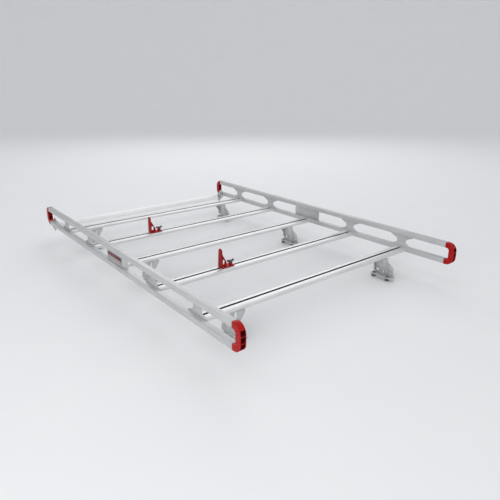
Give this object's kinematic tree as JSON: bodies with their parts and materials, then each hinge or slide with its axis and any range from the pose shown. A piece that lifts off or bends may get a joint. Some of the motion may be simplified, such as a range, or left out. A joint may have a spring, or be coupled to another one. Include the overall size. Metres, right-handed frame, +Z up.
{
  "type": "ladder rack",
  "caption": "Roof ladder rack: open side frames with red end caps, slotted crossbars on sheet feet, a rear loading roller and sliding clamped ladder stops.",
  "frame": {"origin": "middle of the rack in plan, at the underside of the pads below the feet", "axes": "+X across the vehicle to the right, +Y along the side rails towards the loading roller at the rear, +Z up"},
  "size_m": [1.524, 2.296, 0.2645],
  "materials": {
    "rail_aluminium": "clear anodised satin extrusion",
    "crossbar_aluminium": "bright clear anodised extrusion",
    "plate_aluminium": "satin rolled plate",
    "foot_steel": "brushed folded sheet",
    "roller_aluminium": "satin drawn tube",
    "hardware_steel": "zinc plated",
    "cap_plastic": "moulded red plastic",
    "stop_paint": "red powder coat",
    "label_film": "dark red printed panel without lettering",
    "knob_plastic": "moulded black plastic",
    "pad_plastic": "moulded grey plastic",
    "bush_plastic": "natural nylon"
  },
  "bodies": {
    "rack": {"upper_rail_left": "rail_aluminium", "lower_rail_left": "rail_aluminium", "upper_rail_right": "rail_aluminium", "lower_rail_right": "rail_aluminium", "gusset_front_left": "plate_aluminium", "gusset_front_mid_left": "plate_aluminium", "centre_bracket_left": "plate_aluminium", "label_plate_left": "label_film", "gusset_rear_mid_left": "plate_aluminium", "gusset_rear_left": "plate_aluminium", "gusset_front_right": "plate_aluminium", "gusset_front_mid_right": "plate_aluminium", "centre_bracket_right": "plate_aluminium", "label_plate_right": "label_film", "gusset_rear_mid_right": "plate_aluminium", "gusset_rear_right": "plate_aluminium", "end_cap_rear_left": "cap_plastic", "end_cap_front_left": "cap_plastic", "end_cap_rear_right": "cap_plastic", "end_cap_front_right": "cap_plastic", "crossbar_front": "crossbar_aluminium", "crossbar_front_mid": "crossbar_aluminium", "crossbar_middle": "crossbar_aluminium", "crossbar_rear_mid": "crossbar_aluminium", "crossbar_rear": "crossbar_aluminium", "foot_front_left": "foot_steel", "foot_pad_front_left_a": "pad_plastic", "foot_pad_front_left_b": "pad_plastic", "foot_middle_left": "foot_steel", "foot_pad_middle_left_a": "pad_plastic", "foot_pad_middle_left_b": "pad_plastic", "foot_rear_left": "foot_steel", "foot_pad_rear_left_a": "pad_plastic", "foot_pad_rear_left_b": "pad_plastic", "foot_front_right": "foot_steel", "foot_pad_front_right_a": "pad_plastic", "foot_pad_front_right_b": "pad_plastic", "foot_middle_right": "foot_steel", "foot_pad_middle_right_a": "pad_plastic", "foot_pad_middle_right_b": "pad_plastic", "foot_rear_right": "foot_steel", "foot_pad_rear_right_a": "pad_plastic", "foot_pad_rear_right_b": "pad_plastic", "roller_axle": "hardware_steel", "roller_bracket_left": "plate_aluminium", "roller_bracket_right": "plate_aluminium"},
    "roller": {"roller_tube": "roller_aluminium", "roller_bush_left": "bush_plastic", "roller_bush_right": "bush_plastic"},
    "stop_front_mid": {"ladder_stop_front_mid": "stop_paint", "t_bolt_front_mid": "hardware_steel"},
    "knob_front_mid": {"wing_knob_front_mid": "knob_plastic"},
    "stop_rear_mid": {"ladder_stop_rear_mid": "stop_paint", "t_bolt_rear_mid": "hardware_steel"},
    "knob_rear_mid": {"wing_knob_rear_mid": "knob_plastic"}
  },
  "joints": [
    {"name": "roller_spin", "type": "hinge", "parent": "rack", "child": "roller", "pos_m": [0, 1.12, 0.113], "axis": [1, 0, 0], "continuous": true},
    {"name": "stop_slide_front_mid", "type": "slide", "parent": "rack", "child": "stop_front_mid", "axis": [1, 0, 0], "range_m": [-0.39, 0.96]},
    {"name": "knob_turn_front_mid", "type": "hinge", "parent": "stop_front_mid", "child": "knob_front_mid", "pos_m": [-0.2595, -0.404, 0.1555], "axis": [0, 0, 1], "range_deg": [0, 360]},
    {"name": "stop_slide_rear_mid", "type": "slide", "parent": "rack", "child": "stop_rear_mid", "axis": [1, 0, 0], "range_m": [-0.39, 0.96]},
    {"name": "knob_turn_rear_mid", "type": "hinge", "parent": "stop_rear_mid", "child": "knob_rear_mid", "pos_m": [-0.2595, 0.406, 0.1555], "axis": [0, 0, 1], "range_deg": [0, 360]}
  ]
}
